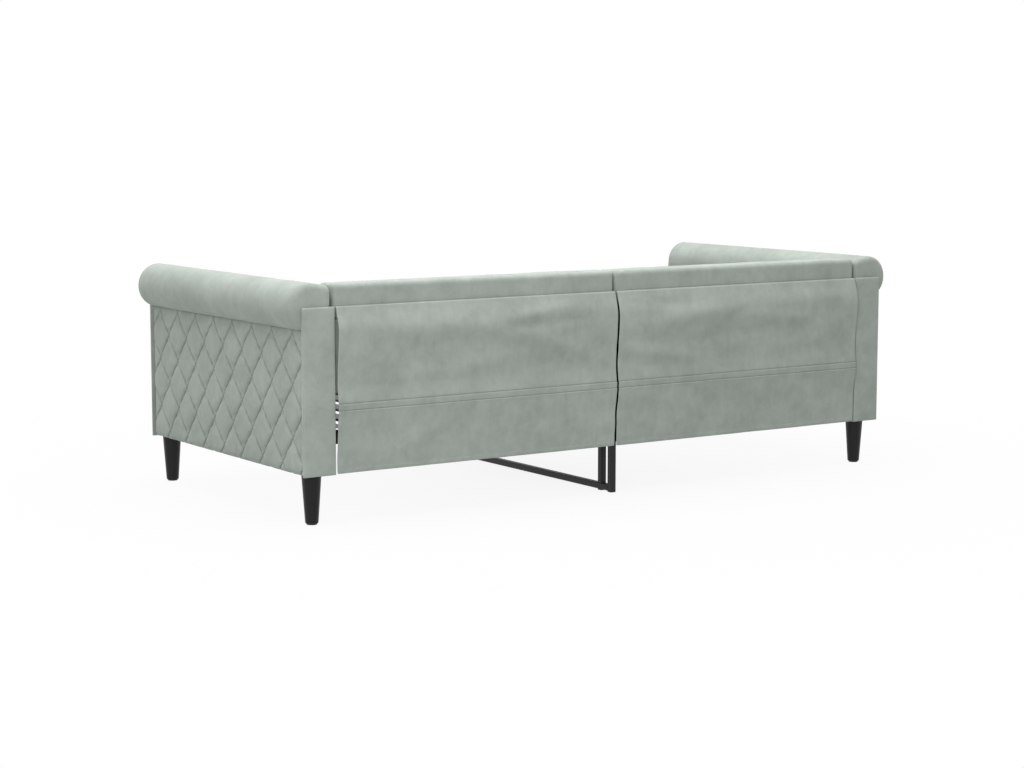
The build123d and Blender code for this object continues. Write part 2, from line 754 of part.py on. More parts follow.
# Bolts that clamp both halves of the back to the tall post
back_bolt_seat = frame_start + back_board_thickness
with BuildPart() as back_bolts:
    with BuildSketch(facing_side(back_bolt_seat)):
        with Locations((post_middle, web_middle)):
            with GridLocations(0, back_bolt_spacing, 1, back_bolt_rows):
                RegularPolygon(head_radius, 6)
    extrude(amount=bolt_head)
    with BuildSketch(facing_side(back_bolt_seat)):
        with Locations((post_middle, web_middle)):
            with GridLocations(0, back_bolt_spacing, 1, back_bolt_rows):
                Circle(bolt_diameter / 2)
    extrude(amount=-(2 * back_bolt_seat + nut_height))
    with BuildSketch(facing_side(-back_bolt_seat)):
        with Locations((post_middle, web_middle)):
            with GridLocations(0, back_bolt_spacing, 1, back_bolt_rows):
                RegularPolygon(head_radius, 6)
                Circle(bolt_hole / 2, mode=Mode.SUBTRACT)
    extrude(amount=-nut_height)
save(back_bolts.part, "back_bolts")
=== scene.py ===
import math
import bmesh
import bpy
from mathutils import Matrix, Vector, noise


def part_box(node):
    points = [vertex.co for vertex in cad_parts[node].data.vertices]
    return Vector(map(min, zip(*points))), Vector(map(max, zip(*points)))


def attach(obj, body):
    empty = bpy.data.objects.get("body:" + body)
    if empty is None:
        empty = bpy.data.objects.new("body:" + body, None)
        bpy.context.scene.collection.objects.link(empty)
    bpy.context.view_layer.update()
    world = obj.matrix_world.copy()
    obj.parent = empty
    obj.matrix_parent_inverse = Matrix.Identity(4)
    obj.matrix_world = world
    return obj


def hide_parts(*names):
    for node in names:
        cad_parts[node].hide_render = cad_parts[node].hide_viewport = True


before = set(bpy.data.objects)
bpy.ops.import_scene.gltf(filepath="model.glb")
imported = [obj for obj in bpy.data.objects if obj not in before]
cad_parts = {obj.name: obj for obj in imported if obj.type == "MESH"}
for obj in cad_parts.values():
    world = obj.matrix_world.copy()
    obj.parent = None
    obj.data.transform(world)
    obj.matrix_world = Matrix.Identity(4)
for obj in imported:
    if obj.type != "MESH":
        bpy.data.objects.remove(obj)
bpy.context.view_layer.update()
scene = bpy.context.scene
sides = {"left": 1, "right": -1}
print("frame loaded,", len(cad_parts), "CAD nodes")


def linearColour(text):
    values = [int(text[i:i + 2], 16) / 255 for i in (1, 3, 5)]
    return (*[v / 12.92 if v <= 0.04045 else ((v + 0.055) / 1.055) ** 2.4 for v in values], 1.0)


def addNode(tree, kind, settings={}, values={}, links={}):
    node = tree.nodes.new(kind)
    for name, value in settings.items():
        setattr(node, name, value)
    for socket, value in values.items():
        node.inputs[socket].default_value = value
    for socket, source in links.items():
        tree.links.new(source, node.inputs[socket])
    return node


def newMaterial(name):
    material = bpy.data.materials.new(name)
    material.use_nodes = True
    material.node_tree.nodes.clear()
    return material, material.node_tree


def setRamp(ramp, places, colours):
    elements = ramp.color_ramp.elements
    while len(elements) < len(places):
        elements.new(1.0)
    for element, place, colour in zip(elements, places, colours):
        element.position = place
        element.color = linearColour(colour)


# Cut-pile polyester velvet: a short pile that bruises into soft lighter and darker patches, with faint
# brush marks down the cloth, a pale bloom where it is seen edge on, and painted shade that darkens the colour
# in the seams
velvetLook = {
    "deep": "#969e97",
    "mid": "#9ea69f",
    "raised": "#a6aea7",
    "stops": (0.37, 0.5, 0.63),  # lie of the pile at which those three tones are reached
    # Colour towards which the painted seam shade darkens the pile
    "seam": "#59605a",
    "patch": 0.12,
    "bruise": 0.03,
    "bruiseShare": 0.5,
    "brushWidth": 0.016,
    "brushLength": 0.06,
    "brushShare": 0.15,
    "pile": 0.0022,  # real pile is 0.3 mm, drawn coarser so that it shows
    "pileDepth": 0.0006,
    "pileStrength": 0.3,
    "roughness": 0.92,
    "specular": 0.15,
    "sheen": 0.3,
    "sheenRoughness": 0.4,
    "sheenTint": "#e4e8e4",
}


def makeVelvet(name, across):
    look = velvetLook
    material, tree = newMaterial(name)
    place = addNode(tree, "ShaderNodeTexCoord").outputs["Object"]
    stretch = [1 / look["brushLength"]] * 3
    stretch[across] = 1 / look["brushWidth"]
    brushed = addNode(tree, "ShaderNodeMapping", values={"Scale": stretch}, links={"Vector": place})
    brush = addNode(tree, "ShaderNodeTexNoise", values={"Scale": 1.0, "Detail": 2.0, "Roughness": 0.5},
                    links={"Vector": brushed.outputs["Vector"]})
    patch = addNode(tree, "ShaderNodeTexNoise",
                    values={"Scale": 1 / look["patch"], "Detail": 2.0, "Roughness": 0.5},
                    links={"Vector": place})
    bruise = addNode(tree, "ShaderNodeTexNoise",
                     values={"Scale": 1 / look["bruise"], "Detail": 6.0, "Roughness": 0.7, "Distortion": 0.6},
                     links={"Vector": place})
    lay = addNode(tree, "ShaderNodeMix", {"data_type": "FLOAT"}, {"Factor": look["bruiseShare"]},
                  {"A": patch.outputs["Fac"], "B": bruise.outputs["Fac"]})
    nap = addNode(tree, "ShaderNodeMix", {"data_type": "FLOAT"}, {"Factor": look["brushShare"]},
                  {"A": lay.outputs["Result"], "B": brush.outputs["Fac"]})
    ramp = addNode(tree, "ShaderNodeValToRGB", links={"Fac": nap.outputs["Result"]})
    setRamp(ramp, look["stops"], (look["deep"], look["mid"], look["raised"]))
    # Painted shade: a point attribute set on the quilts and rear covers mixes the colour towards the seam
    # colour along their seams
    sewn = addNode(tree, "ShaderNodeAttribute", {"attribute_name": "paintedSeamShade"})
    # A colour mix has its factor at input 0, its colours at 6 and 7 and its result at output 2
    tone = addNode(tree, "ShaderNodeMix", {"data_type": "RGBA"}, {7: linearColour(look["seam"])},
                   {0: sewn.outputs["Fac"], 6: ramp.outputs["Color"]})
    pile = addNode(tree, "ShaderNodeTexNoise", values={"Scale": 1 / look["pile"], "Detail": 2.0},
                   links={"Vector": place})
    grain = addNode(tree, "ShaderNodeMath", {"operation": "ADD"},
                    links={0: pile.outputs["Fac"], 1: nap.outputs["Result"]})
    bump = addNode(tree, "ShaderNodeBump",
                   values={"Strength": look["pileStrength"], "Distance": look["pileDepth"]},
                   links={"Height": grain.outputs[0]})
    shader = addNode(
        tree, "ShaderNodeBsdfPrincipled",
        values={
            "Roughness": look["roughness"],
            "Specular IOR Level": look["specular"],
            "Sheen Weight": look["sheen"],
            "Sheen Roughness": look["sheenRoughness"],
            "Sheen Tint": linearColour(look["sheenTint"]),
        },
        links={"Base Color": tone.outputs[2], "Normal": bump.outputs["Normal"]},
    )
    addNode(tree, "ShaderNodeOutputMaterial", links={"Surface": shader.outputs["BSDF"]})
    return material


velvetArms = makeVelvet("velvetArms", 1)
velvetBack = makeVelvet("velvetBack", 0)

finishLook = {"stops": (0.3, 0.7), "detail": 4.0, "strength": 0.4}


# A plain finish: two close tones in a noise of one real size, with a bump of the same grain
def makeFinish(name, dark, light, grain, roughness, depth, metallic=0.0, specular=0.5, stretch=(1, 1, 1)):
    material, tree = newMaterial(name)
    place = addNode(tree, "ShaderNodeTexCoord").outputs["Object"]
    turned = addNode(tree, "ShaderNodeMapping", values={"Scale": stretch}, links={"Vector": place})
    tone = addNode(tree, "ShaderNodeTexNoise", values={"Scale": 1 / grain, "Detail": finishLook["detail"]},
                   links={"Vector": turned.outputs["Vector"]})
    ramp = addNode(tree, "ShaderNodeValToRGB", links={"Fac": tone.outputs["Fac"]})
    setRamp(ramp, finishLook["stops"], (dark, light))
    bump = addNode(tree, "ShaderNodeBump", values={"Strength": finishLook["strength"], "Distance": depth},
                   links={"Height": tone.outputs["Fac"]})
    shader = addNode(tree, "ShaderNodeBsdfPrincipled",
                     values={"Roughness": roughness, "Metallic": metallic, "Specular IOR Level": specular},
                     links={"Base Color": ramp.outputs["Color"], "Normal": bump.outputs["Normal"]})
    addNode(tree, "ShaderNodeOutputMaterial", links={"Surface": shader.outputs["BSDF"]})
    return material


# Rotary-cut birch plywood, long pale grain with darker latewood
birchPlywood = makeFinish("birchPlywood", "#b08a5c", "#cdab7e", grain=0.012, roughness=0.62, depth=0.0002,
                          stretch=(6, 1, 6))
# Black spun-bonded lining stapled over the hidden faces, dull with a fine felted fleck
liningCloth = makeFinish("liningCloth", "#141516", "#242526", grain=0.0025, roughness=0.95, depth=0.0003,
                         specular=0.1)
# Pressed brown fibre board, fine even speckle
hardboard = makeFinish("hardboard", "#5b3d28", "#77553a", grain=0.003, roughness=0.7, depth=0.0001)
# Black powder coat on steel, with its orange peel
powderCoat = makeFinish("powderCoat", "#141516", "#1a1b1c", grain=0.0016, roughness=0.42, depth=0.00008,
                        specular=0.3)
# Black ABS legs, satin, with faint flow marks down their length
legPolymer = makeFinish("legPolymer", "#0f1011", "#151617", grain=0.006, roughness=0.33, depth=0.00006,
                        specular=0.25, stretch=(1, 1, 0.15))
# Moulded black polyethylene caps and glides, dull
capPolymer = makeFinish("capPolymer", "#17181a", "#202122", grain=0.002, roughness=0.55, depth=0.00008)
# Bright zinc plate on fasteners and pressings, faintly clouded
zincPlate = makeFinish("zincPlate", "#b3b5b4", "#cfd1cf", grain=0.004, roughness=0.34, depth=0.00005,
                       metallic=1.0)
print("materials made")

# First word found in a CAD node's name decides its finish
hardFinishes = {
    "inner_panel": liningCloth,
    "bottom_board": liningCloth,
    "back_boards": liningCloth,
    "webs": liningCloth,
    "panel": birchPlywood,
    "bulkheads": birchPlywood,
    "core": hardboard,
    "rail": powderCoat,
    "slats": powderCoat,
    "bar": powderCoat,
    "post": powderCoat,
    "centre": powderCoat,
    "_leg": legPolymer,
    "glides": capPolymer,
    "caps": capPolymer,
    "bolts": zincPlate,
    "nuts": zincPlate,
    "hooks": zincPlate,
    "catches": zincPlate,
    "inserts": zincPlate,
}
for name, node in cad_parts.items():
    finish = next((m for word, m in hardFinishes.items() if word in name), birchPlywood)
    node.data.materials.clear()
    node.data.materials.append(finish)


def makePiece(bm, name, material, replaced, way):
    if way < 0:
        bmesh.ops.scale(bm, vec=(-1, 1, 1), verts=bm.verts)
        bmesh.ops.reverse_faces(bm, faces=bm.faces)
    mesh = bpy.data.meshes.new(name)
    bm.to_mesh(mesh)
    bm.free()
    mesh.polygons.foreach_set("use_smooth", [True] * len(mesh.polygons))
    mesh.materials.append(material)
    piece = bpy.data.objects.new(name, mesh)
    scene.collection.objects.link(piece)
    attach(piece, "root")
    if replaced:
        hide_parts(*replaced)
    return piece


def addSubdivision(piece):
    smoothing = piece.modifiers.new("smoothing", "SUBSURF")
    smoothing.levels = 1
    smoothing.render_levels = 1


def addWall(piece, thickness):
    wall = piece.modifiers.new("wall", "SOLIDIFY")
    wall.thickness = thickness
    wall.offset = -1


def smoothStep(t):
    return t * t * (3 - 2 * t)


def boxMesh(low, high):
    bm = bmesh.new()
    place = Matrix.Translation((low + high) / 2) @ Matrix.Diagonal((*(high - low), 1))
    bmesh.ops.create_cube(bm, size=1.0, matrix=place)
    return bm


def newVerts(made):
    return [g for g in made["geom"] if isinstance(g, bmesh.types.BMVert)]


def edgesAlong(bm, axis, longer):
    return [e for e in bm.edges if abs(e.verts[0].co[axis] - e.verts[1].co[axis]) > longer]


def cutMesh(bm, point, across, clear=False):
    bmesh.ops.bisect_plane(bm, geom=bm.verts[:] + bm.edges[:] + bm.faces[:], dist=1e-5,
                           plane_co=point, plane_no=across, clear_outer=clear)


def turnOutward(bm, outward):
    bmesh.ops.recalc_face_normals(bm, faces=bm.faces)
    if sum(f.normal.dot(outward) for f in bm.faces) < 0:
        bmesh.ops.reverse_faces(bm, faces=bm.faces)


# Lets cloth swell under air pressure between its held points. The move is scaled and softly capped
def swellCloth(bm, held, push):
    bm.verts.index_update()
    mesh = bpy.data.meshes.new("swelling")
    bm.to_mesh(mesh)
    sheet = bpy.data.objects.new("swelling", mesh)
    scene.collection.objects.link(sheet)
    sheet.vertex_groups.new(name="held").add([v.index for v in held], 1.0, "REPLACE")
    cloth = sheet.modifiers.new("swelling", "CLOTH")
    cloth.settings.vertex_group_mass = "held"
    cloth.settings.quality = 6
    cloth.settings.mass = 0.25
    cloth.settings.tension_stiffness = push["stiffness"]
    cloth.settings.compression_stiffness = push["stiffness"]
    cloth.settings.shear_stiffness = push["stiffness"]
    cloth.settings.bending_stiffness = push["bending"]
    cloth.settings.use_pressure = True
    cloth.settings.uniform_pressure_force = push["pressure"]
    cloth.settings.shrink_min = -push["slack"]
    cloth.settings.effector_weights.gravity = 0
    cloth.collision_settings.use_collision = False
    cloth.point_cache.frame_start = 1
    cloth.point_cache.frame_end = push["frames"]
    for step in range(1, push["frames"] + 1):
        scene.frame_set(step)
    shape = sheet.evaluated_get(bpy.context.evaluated_depsgraph_get()).data
    moves = [end.co - vert.co for end, vert in zip(shape.vertices, bm.verts)]
    longest = max(move.length for move in moves)
    print("cloth swelled", len(moves), "points by", round(longest * 1000, 2), "mm")
    cap = push["cap"]
    for vert, move in zip(bm.verts, moves):
        reach = move.length / longest * push["full"]
        if reach > 0:
            vert.co += move.normalized() * cap * (1 - math.exp(-reach / cap))
    scene.frame_set(1)
    bpy.data.objects.remove(sheet)
    bpy.data.meshes.remove(mesh)


quilt = {
    "width": 0.128,
    "height": 0.1534,
    "row": 0.4855,  # height of one level row of seam crossings
    "cells": 16,
    "gather": 0.6,  # how far the mesh is drawn towards the seams
    "onSeam": 0.002,  # share of a diamond within which a point counts as on its seam
    "merge": 0.0008,
    "edge": 0.004,
    "push": {"pressure": 4.0, "frames": 20, "slack": 0.02, "stiffness": 12.0, "bending": 0.3,
             "full": 0.009, "cap": 0.0058},
    "seamDepth": 0.010,
    "wallRise": 0.0048,  # steep side of each diamond, and how soon it levels out
    "wallRun": 0.0038,
    # Strength and run of the painted shade laid into the colour along the quilt seams
    "shade": 0.55,
    "shadeRun": 0.0022,
}


# Where a point lies in the two seam families, as whole numbers on the seams
def seamPlace(u, v, crossing):
    level = (u - crossing) / quilt["width"]
    rise = (v - quilt["row"]) / quilt["height"]
    return level + rise, level - rise


def onSeam(place):
    return abs(place - round(place)) < quilt["onSeam"]


# Quilted face in its own plane: x runs level, y up and z outwards, flat at the depth of the seams
def quiltFace(span, rise, crossing):
    corners = [seamPlace(u, v, crossing) for u in span for v in rise]
    first = [math.floor(min(c[k] for c in corners)) for k in (0, 1)]
    count = [math.ceil(max(c[k] for c in corners)) - first[k] for k in (0, 1)]
    middle = [first[k] + count[k] / 2 for k in (0, 1)]
    w, h = quilt["width"] / 2, quilt["height"] / 2
    spread = Matrix((
        (count[0] * w, count[1] * w, 0, crossing + (middle[0] + middle[1]) * w),
        (count[0] * h, -count[1] * h, 0, quilt["row"] + (middle[0] - middle[1]) * h),
        (0, 0, 1, -quilt["seamDepth"]),
        (0, 0, 0, 1),
    ))
    bm = bmesh.new()
    cells = [n * quilt["cells"] for n in count]
    bmesh.ops.create_grid(bm, x_segments=cells[0], y_segments=cells[1], size=0.5, matrix=spread)
    for vert in bm.verts:
        i, j = (p - quilt["gather"] * math.sin(2 * math.pi * p) / (2 * math.pi)
                for p in seamPlace(vert.co.x, vert.co.y, crossing))
        vert.co.x = crossing + (i + j) * w
        vert.co.y = quilt["row"] + (i - j) * h
    for u in span:
        cutMesh(bm, (u, 0, 0), (math.copysign(1, u - sum(span) / 2), 0, 0), clear=True)
    for v in rise:
        cutMesh(bm, (0, v, 0), (0, math.copysign(1, v - sum(rise) / 2), 0), clear=True)
    bmesh.ops.remove_doubles(bm, verts=bm.verts, dist=quilt["merge"])
    bmesh.ops.reverse_faces(bm, faces=bm.faces)
    return bm


# The foam fills each diamond up to straight steep sides, the cloth swells softly over it, and painted shade
# darkens the colour along the seams
def sewQuilt(bm, span, rise, crossing):
    held = [
        v for v in bm.verts
        if v.is_boundary or any(onSeam(p) for p in seamPlace(v.co.x, v.co.y, crossing))
    ]
    swellCloth(bm, held, quilt["push"])
    pitch = quilt["width"] * quilt["height"] / math.hypot(quilt["width"], quilt["height"])
    # Painted shade: the colour darkens towards each seam line, standing in for the shade down in its groove
    shade = bm.verts.layers.float.new("paintedSeamShade")
    for vert in bm.verts:
        u, v = vert.co.x, vert.co.y
        gap = min(abs(p - round(p)) for p in seamPlace(u, v, crossing)) * pitch
        vert[shade] = quilt["shade"] * math.exp(-gap / quilt["shadeRun"])
        gap = min(gap, u - span[0], span[1] - u, v - rise[0], rise[1] - v)
        vert.co.z += quilt["wallRise"] * (1 - math.exp(-max(0, gap) / quilt["wallRun"]))
    crease = bm.edges.layers.float.new("crease_edge")
    for edge in bm.edges:
        ends = [seamPlace(v.co.x, v.co.y, crossing) for v in edge.verts]
        for k in (0, 1):
            if onSeam(ends[0][k]) and round(ends[0][k]) == round(ends[1][k]) and onSeam(ends[1][k]):
                edge[crease] = 1.0


# Rounds the cloth over the pad's edges and closes it behind
def wrapQuilt(bm, span, rise, depth):
    edge = quilt["edge"]
    for back, out in ((edge, edge), (depth - quilt["seamDepth"] - edge, 0)):
        rim = [e for e in bm.edges if e.is_boundary]
        for vert in newVerts(bmesh.ops.extrude_edge_only(bm, edges=rim)):
            vert.co.z -= back
            for axis, limits in ((0, span), (1, rise)):
                if abs(vert.co[axis] - limits[0]) < 1e-4:
                    vert.co[axis] -= out
                elif abs(vert.co[axis] - limits[1]) < 1e-4:
                    vert.co[axis] += out
    rim = [e for e in bm.edges if e.is_boundary]
    bmesh.ops.triangle_fill(bm, edges=rim, use_beauty=True, use_dissolve=False)


def makeQuilt(kind, node, span, rise, crossing, depth, place, material):
    edge = quilt["edge"]
    inside = [(low + edge, high - edge) for low, high in (span, rise)]
    bm = quiltFace(inside[0], inside[1], crossing)
    sewQuilt(bm, inside[0], inside[1], crossing)
    wrapQuilt(bm, inside[0], inside[1], depth)
    bmesh.ops.transform(bm, matrix=place, verts=bm.verts)
    if place.determinant() < 0:
        bmesh.ops.reverse_faces(bm, faces=bm.faces)
    for side, way in sides.items():
        piece = makePiece(bm.copy(), side + kind, material, [f"{side}_{node}"], way)
        addSubdivision(piece)
    bm.free()
    print("quilted", kind)


def placing(across, up, outward, origin):
    return Matrix.Translation(origin) @ Matrix((across, up, outward)).transposed().to_4x4()


low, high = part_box("left_arm_outer_pad")
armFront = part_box("left_arm_front_facing")[0].y
makeQuilt("ArmOuterQuilt", "arm_outer_pad", (low.y, high.y), (low.z, high.z), armFront, high.x - low.x,
          placing((0, 1, 0), (0, 0, 1), (1, 0, 0), (high.x, 0, 0)), velvetArms)
low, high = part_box("left_arm_inner_pad")
makeQuilt("ArmInnerQuilt", "arm_inner_pad", (low.y, high.y), (low.z, high.z), armFront, high.x - low.x,
          placing((0, 1, 0), (0, 0, 1), (-1, 0, 0), (low.x, 0, 0)), velvetArms)
low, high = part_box("left_back_front_pad")
makeQuilt("BackFrontQuilt", "back_front_pad", (low.x, high.x), (low.z, high.z), (low.x + high.x) / 2,
          high.y - low.y, placing((1, 0, 0), (0, 0, 1), (0, -1, 0), (0, low.y, 0)), velvetBack)


# Uneven stuffing: moves every point along its normal by a smooth noise
def lumpUp(bm, size, height, seed):
    bm.normal_update()
    moves = [v.normal * noise.noise(v.co / size + Vector((seed, 0, seed))) * height for v in bm.verts]
    for vert, move in zip(bm.verts, moves):
        vert.co += move


# Cuts long edges into steps of nearly one length
def evenOut(bm, edges, step):
    for edge in edges:
        cuts = round(edge.calc_length() / step) - 1
        if cuts > 0:
            bmesh.ops.subdivide_edges(bm, edges=[edge], cuts=cuts)


armRoll = {
    "outerFoot": 13.6,  # degrees from straight down, where the roll leaves the outer panel
    "innerFoot": 50.9,
    "shoulderRise": 0.060,
    "shoulderRound": 0.0189,
    "shoulderFrom": 0.20,  # metres in front of the rear end, where the shoulder starts to grow
    "neckTop": 0.0385,  # below the roll's middle
    "neckClear": 0.0005,  # from the side panels
    "wall": 0.017,
    "endRound": 0.018,
    "arcSteps": 56,
    "innerSteps": 12,
    "step": 0.008,
    "rows": 113,
    "push": {"pressure": 4.0, "frames": 14, "slack": 0.012, "stiffness": 12.0, "bending": 0.6,
             "full": 0.002, "cap": 0.0016},
    "lumpSize": 0.12,
    "lump": 0.001,
}
low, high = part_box("left_arm_roll")
rollRadius = (high.x - low.x) / 2
rollAxis = Vector((high.x - rollRadius, 0, high.z - rollRadius))
rollLow, rollHigh = low, high


# Arc of the roll's outline from its outer foot over the top
def rollArc(bm, y, outerFoot, stop):
    middle = Vector((rollAxis.x, y, rollAxis.z))
    foot = bm.verts.new(middle + rollRadius * Vector((math.sin(outerFoot), 0, -math.cos(outerFoot))))
    bmesh.ops.spin(bm, geom=[foot], cent=middle, axis=(0, -1, 0), angle=1.5 * math.pi - outerFoot - stop,
                   steps=armRoll["arcSteps"])
    return middle


# The rear end of the roll has a soft shoulder, straight up beside the back, that dies away forwards
def makeRoll(side, way, seed):
    look = armRoll
    bm = bmesh.new()
    shoulderAngle = 2 * math.atan(look["shoulderRise"] / rollRadius)
    middle = rollArc(bm, rollHigh.y, math.radians(look["outerFoot"]), shoulderAngle)
    shoulder = bm.verts.new(middle + Vector((-rollRadius, 0, look["shoulderRise"])))
    inner = bm.verts.new(middle - Vector((rollRadius, 0, 0)))
    bmesh.ops.spin(bm, geom=[inner], cent=middle, axis=(0, -1, 0),
                   angle=math.pi / 2 - math.radians(look["innerFoot"]), steps=look["innerSteps"])
    neckTop = rollAxis.z - look["neckTop"]
    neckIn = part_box("left_arm_inner_panel")[0].x - look["neckClear"]
    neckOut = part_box("left_arm_outer_panel")[1].x + look["neckClear"]
    for x in (neckIn, neckOut):
        bm.verts.new((x, rollHigh.y, neckTop))
    bm.faces.new(bm.verts[:])
    bmesh.ops.bevel(bm, geom=[shoulder], offset=look["shoulderRound"], affect="VERTICES", segments=8,
                    profile=0.5, material=-1)
    evenOut(bm, [e for e in bm.edges if min(v.co.z for v in e.verts) > rollAxis.z - 1e-4], look["step"])
    wall = [e for e in bm.edges if all(abs(v.co.z - neckTop) > 1e-5 for v in e.verts)]
    front = newVerts(bmesh.ops.extrude_edge_only(bm, edges=wall))
    bmesh.ops.translate(bm, vec=(0, rollLow.y - rollHigh.y, 0), verts=front)
    rim = [
        e for e in bm.edges
        if len(e.link_faces) == 2 and all(abs(v.co.y - rollHigh.y) < 1e-6 for v in e.verts)
    ]
    bmesh.ops.bevel(bm, geom=rim, offset=look["endRound"], affect="EDGES", segments=6, profile=0.5,
                    material=-1)
    bmesh.ops.remove_doubles(bm, verts=bm.verts, dist=1e-4)
    bmesh.ops.subdivide_edges(bm, edges=edgesAlong(bm, 1, 0.5), cuts=look["rows"], use_grid_fill=True)
    for vert in bm.verts:
        out = Vector((vert.co.x - rollAxis.x, 0, vert.co.z - rollAxis.z))
        t = min(1, max(0, 1 - (rollHigh.y - look["endRound"] - vert.co.y) / look["shoulderFrom"]))
        if out.length > rollRadius:
            vert.co -= out.normalized() * (out.length - rollRadius) * (1 - smoothStep(t))
    bmesh.ops.recalc_face_normals(bm, faces=bm.faces)
    bm.normal_update()
    if max(bm.faces, key=lambda f: f.calc_center_median().x).normal.x < 0:
        bmesh.ops.reverse_faces(bm, faces=bm.faces)
    held = [v for v in bm.verts if v.is_boundary or v.co.y > rollHigh.y - look["endRound"] / 2]
    swellCloth(bm, held, look["push"])
    lumpUp(bm, look["lumpSize"], look["lump"], seed)
    piece = makePiece(bm, side + "ArmRoll", velvetArms, [f"{side}_arm_roll"], way)
    addWall(piece, look["wall"])


for side, way in sides.items():
    makeRoll(side, way, 3.0 + way)
print("arm rolls made")

rearEnd = {
    "round": 0.004,
    "columns": 14,
    "rows": 62,
    "push": {"pressure": 4.0, "frames": 12, "slack": 0.01, "stiffness": 12.0, "bending": 0.6,
             "full": 0.003, "cap": 0.002},
}


# Flat upholstered end panel: a soft-edged slab whose cloth swells a little over the wadding
def makeRearEnd(side, way):
    look = rearEnd
    low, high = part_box("left_arm_rear_panel")
    bm = boxMesh(low, high)
    rim = [e for e in bm.edges if all(v.co.y > high.y - 1e-6 for v in e.verts)]
    bmesh.ops.bevel(bm, geom=rim, offset=look["round"], affect="EDGES", segments=4, profile=0.5, material=-1)
    bmesh.ops.subdivide_edges(bm, edges=edgesAlong(bm, 2, 0.2), cuts=look["rows"], use_grid_fill=True)
    bmesh.ops.subdivide_edges(bm, edges=edgesAlong(bm, 0, 0.05), cuts=look["columns"], use_grid_fill=True)
    bmesh.ops.recalc_face_normals(bm, faces=bm.faces)
    inside = look["round"] + 1e-4
    held = [
        v for v in bm.verts
        if v.co.y < high.y - 1e-5
        or min(v.co.x - low.x, high.x - v.co.x, v.co.z - low.z, high.z - v.co.z) < inside
    ]
    swellCloth(bm, held, look["push"])
    piece = makePiece(bm, side + "ArmRearEnd", velvetArms, [f"{side}_arm_rear_panel"], way)


frontFacing = {
    "round": 0.005,
    "lap": 0.03,
    "sewn": ((0.004, 0.0), (0.0015, -0.0012), (0.002, 0.0012), (0.01, 0.0012)),  # insets, run and rise
}


# Scroll-shaped facing on the front end, with a sewn line just inside its edge
def makeFrontFacing(side, way):
    look = frontFacing
    low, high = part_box("left_arm_front_facing")
    armLow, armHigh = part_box("left_arm_rear_panel")
    bm = bmesh.new()
    rollArc(bm, high.y, math.asin((armHigh.x - rollAxis.x) / rollRadius), 0)
    for x, z in ((armLow.x, rollAxis.z - look["lap"]), (armLow.x, low.z), (armHigh.x, low.z)):
        bm.verts.new((x, high.y, z))
    bm.faces.new(bm.verts[:])
    raised = newVerts(bmesh.ops.extrude_face_region(bm, geom=bm.faces[:], use_keep_orig=True))
    bmesh.ops.translate(bm, vec=(0, low.y - high.y, 0), verts=raised)
    rim = [e for e in bm.edges if all(v.co.y < low.y + 1e-6 for v in e.verts)]
    bmesh.ops.bevel(bm, geom=rim, offset=look["round"], affect="EDGES", segments=4, profile=0.5, material=-1)
    bmesh.ops.recalc_face_normals(bm, faces=bm.faces)
    ahead = [f for f in bm.faces if f.calc_center_median().y < low.y + 1e-5]
    face = max(ahead, key=lambda f: f.calc_area())
    for thickness, depth in look["sewn"]:
        bmesh.ops.inset_region(bm, faces=[face], thickness=thickness, depth=depth, use_even_offset=True)
    piece = makePiece(bm, side + "ArmFrontFacing", velvetArms, [f"{side}_arm_front_facing"], way)


for side, way in sides.items():
    makeRearEnd(side, way)
    makeFrontFacing(side, way)
print("arm ends made")

topRoll = {
    "front": 0.055,
    "rear": 0.015,
    "end": 0.012,
    "rows": 110,
    "around": 8,
    "broad": 0.03,  # faces round the section that are wider than this are cut up
    "lumpSize": 0.14,
    "lump": 0.0014,
}


# Plain top band of the back, with a wide round in front, a small one behind and soft ends
def makeTopRoll(side, way, seed):
    look = topRoll
    low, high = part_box("left_back_top_roll")
    bm = bmesh.new()
    section = [(low.y, low.z), (high.y, low.z), (high.y, high.z), (low.y, high.z)]
    ring = [bm.verts.new((low.x, y, z)) for y, z in section]
    bm.faces.new(ring)
    bmesh.ops.bevel(bm, geom=[ring[2]], offset=look["rear"], affect="VERTICES", segments=6, profile=0.5,
                    material=-1)
    corner = min(bm.verts, key=lambda v: (v.co - Vector((low.x, low.y, high.z))).length)
    bmesh.ops.bevel(bm, geom=[corner], offset=look["front"], affect="VERTICES", segments=10, profile=0.5,
                    material=-1)
    raised = newVerts(bmesh.ops.extrude_face_region(bm, geom=bm.faces[:], use_keep_orig=True))
    bmesh.ops.translate(bm, vec=(high.x - low.x, 0, 0), verts=raised)
    ends = [e for e in bm.edges if abs(e.verts[0].co.x - e.verts[1].co.x) < 1e-6]
    bmesh.ops.bevel(bm, geom=ends, offset=look["end"], affect="EDGES", segments=4, profile=0.5, material=-1)
    bmesh.ops.recalc_face_normals(bm, faces=bm.faces)
    bmesh.ops.subdivide_edges(bm, edges=edgesAlong(bm, 0, 0.5), cuts=look["rows"], use_grid_fill=True)
    around = [
        e for e in bm.edges
        if e.calc_length() > look["broad"] and abs(e.verts[0].co.x - e.verts[1].co.x) < 1e-4
    ]
    bmesh.ops.subdivide_edges(bm, edges=around, cuts=look["around"], use_grid_fill=True)
    lumpUp(bm, look["lumpSize"], look["lump"], seed)
    piece = makePiece(bm, side + "BackTopRoll", velvetBack, [f"{side}_back_top_roll"], way)
    addSubdivision(piece)


for side, way in sides.items():
    makeTopRoll(side, way, 8.0 + way)
print("back rolls made")

